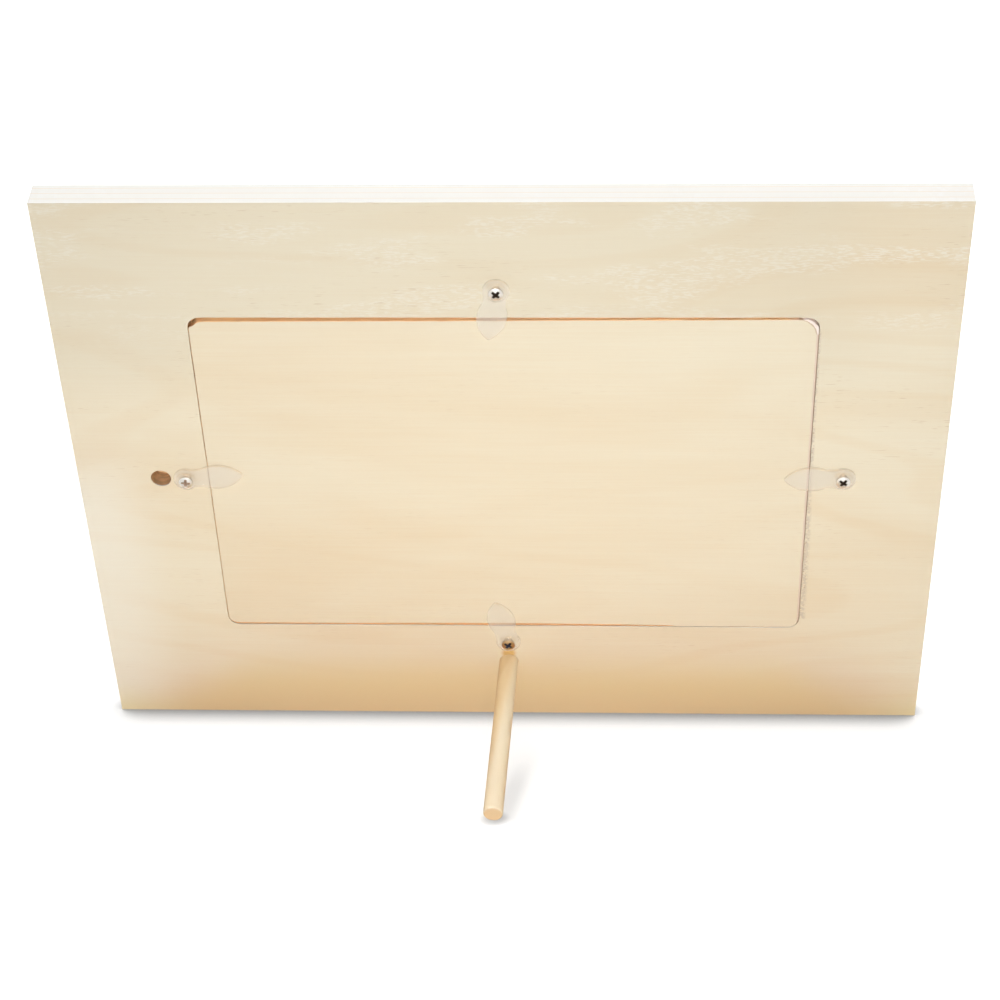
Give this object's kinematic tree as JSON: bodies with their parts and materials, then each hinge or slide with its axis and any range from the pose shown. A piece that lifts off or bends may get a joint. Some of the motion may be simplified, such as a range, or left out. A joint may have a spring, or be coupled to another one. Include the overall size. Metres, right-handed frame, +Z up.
{
  "type": "photo frame",
  "caption": "Tabletop picture frame of pale plywood, standing on a plug-in dowel leg, with a clear pane and a back panel held in by clear turn tabs.",
  "frame": {"origin": "bottom centre of the box around the whole frame as it stands; the board's rear bottom edge and the leg's end both touch z = 0", "axes": "+X along the board, to the left as seen from behind; +Y backwards, the way the leg points, with the picture facing -Y; +Z up"},
  "size_m": [0.2286, 0.0688, 0.1716],
  "materials": {
    "board_wood": "raw sanded plywood",
    "panel_wood": "raw sanded veneer",
    "dowel_wood": "raw birch dowel",
    "pane": "clear acrylic",
    "card": "matte print",
    "tab_plastic": "clear, slightly milky",
    "screw_metal": "bright nickel plate"
  },
  "bodies": {
    "frame": {"frame_board": "board_wood", "clear_pane": "pane", "picture_card": "card", "back_panel": "panel_wood", "tab_screw_top": "screw_metal", "tab_screw_bottom": "screw_metal", "tab_screw_left": "screw_metal", "tab_screw_right": "screw_metal"},
    "tab_top": {"turn_tab_top": "tab_plastic"},
    "tab_bottom": {"turn_tab_bottom": "tab_plastic"},
    "tab_left": {"turn_tab_left": "tab_plastic"},
    "tab_right": {"turn_tab_right": "tab_plastic"},
    "leg": {"stand_leg": "dowel_wood"}
  },
  "joints": [
    {"name": "tab_top_turn", "type": "hinge", "parent": "frame", "child": "tab_top", "pos_m": [0.0011, 0.01928, 0.14432], "axis": [0, 0.952, -0.3061], "continuous": true},
    {"name": "tab_bottom_turn", "type": "hinge", "parent": "frame", "child": "tab_bottom", "pos_m": [0.0012, -0.01816, 0.02789], "axis": [0, 0.952, -0.3061], "range_deg": [-140, 115]},
    {"name": "tab_left_turn", "type": "hinge", "parent": "frame", "child": "tab_left", "pos_m": [0.0853, 0.00024, 0.08511], "axis": [0, 0.952, -0.3061], "continuous": true},
    {"name": "tab_right_turn", "type": "hinge", "parent": "frame", "child": "tab_right", "pos_m": [-0.0882, 0.00048, 0.08587], "axis": [0, 0.952, -0.3061], "continuous": true},
    {"name": "leg_pull", "type": "slide", "parent": "frame", "child": "leg", "axis": [0.0401, 0.9512, -0.3059], "range_m": [0, 0.006]}
  ]
}
